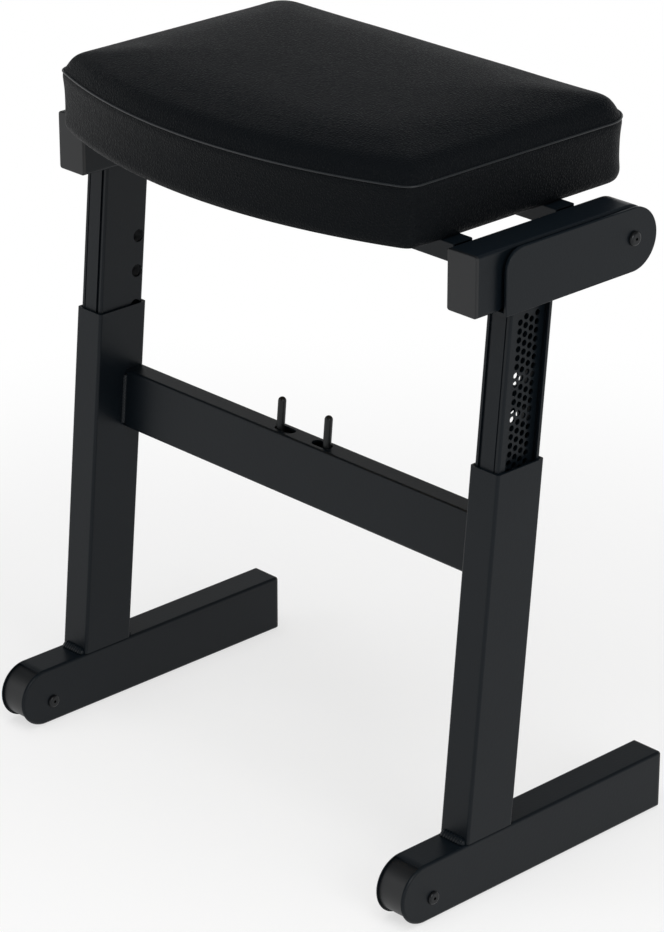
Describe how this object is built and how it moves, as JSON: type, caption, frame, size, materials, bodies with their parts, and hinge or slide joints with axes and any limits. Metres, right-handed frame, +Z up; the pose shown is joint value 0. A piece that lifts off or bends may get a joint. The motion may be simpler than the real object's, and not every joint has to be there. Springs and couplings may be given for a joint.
{
  "type": "adjustable keyboard bench",
  "caption": "Black steel keyboard player's bench: padded seat that tips up on rear pivots, telescopic leaning legs, squeeze-peg height lock in the crossbar, flat tube feet.",
  "frame": {"origin": "middle of the overall box on the floor", "axes": "X runs along the crossbar to the right foot, Y from the bowed front of the seat to the back, Z up"},
  "size_m": [0.49, 0.2935, 0.603],
  "materials": {
    "powder_steel": "semi-gloss black powder coat",
    "black_plastic": "satin moulded",
    "blackened_rivet": "satin black",
    "black_rod": "satin black",
    "zinc_steel": "bright zinc plate",
    "plywood": "plain birch plywood",
    "black_vinyl": "grained black vinyl"
  },
  "bodies": {
    "base": {"left_foot": "powder_steel", "right_foot": "powder_steel", "left_foot_plug": "black_plastic", "right_foot_plug": "black_plastic", "left_foot_rivet": "blackened_rivet", "right_foot_rivet": "blackened_rivet", "left_foot_end_cap": "black_plastic", "right_foot_end_cap": "black_plastic", "left_outer_leg": "powder_steel", "right_outer_leg": "powder_steel", "left_rod_bush": "black_plastic", "right_rod_bush": "black_plastic", "left_spring_seat": "zinc_steel", "right_spring_seat": "zinc_steel", "left_lock_spring": "zinc_steel", "right_lock_spring": "zinc_steel", "crossbar": "powder_steel", "foot_welds": "powder_steel", "crossbar_welds": "powder_steel"},
    "left_lock": {"left_lock_rod": "black_rod"},
    "right_lock": {"right_lock_rod": "black_rod"},
    "upper_frame": {"left_inner_leg": "powder_steel", "right_inner_leg": "powder_steel", "left_perforated_strip": "powder_steel", "right_perforated_strip": "powder_steel", "left_inner_leg_glide": "black_plastic", "right_inner_leg_glide": "black_plastic", "left_seat_bracket": "powder_steel", "right_seat_bracket": "powder_steel", "left_pivot_rivet": "blackened_rivet", "right_pivot_rivet": "blackened_rivet", "left_pivot_spacer": "black_plastic", "right_pivot_spacer": "black_plastic"},
    "seat": {"left_seat_rail": "powder_steel", "right_seat_rail": "powder_steel", "left_rail_cap": "black_plastic", "right_rail_cap": "black_plastic", "front_cross_tube": "powder_steel", "middle_cross_tube": "powder_steel", "seat_board": "plywood", "seat_cushion": "black_vinyl", "seat_screws": "zinc_steel"}
  },
  "joints": [
    {"name": "height_slide", "type": "slide", "parent": "base", "child": "upper_frame", "axis": [0, 0.0872, 0.9962], "range_m": [-0.1208, 0.0604]},
    {"name": "seat_tip", "type": "hinge", "parent": "upper_frame", "child": "seat", "pos_m": [0, 0.09275, 0.50405], "axis": [-1, 0, 0], "range_deg": [0, 95]},
    {"name": "left_lock_slide", "type": "slide", "parent": "base", "child": "left_lock", "axis": [1, 0, 0], "range_m": [0, 0.011], "stiffness_N_per_m": 900, "springref_m": -0.012, "deforming": ["left_lock_spring"]},
    {"name": "right_lock_slide", "type": "slide", "parent": "base", "child": "right_lock", "axis": [-1, 0, 0], "range_m": [0, 0.011], "stiffness_N_per_m": 900, "springref_m": -0.012, "deforming": ["right_lock_spring"]}
  ]
}
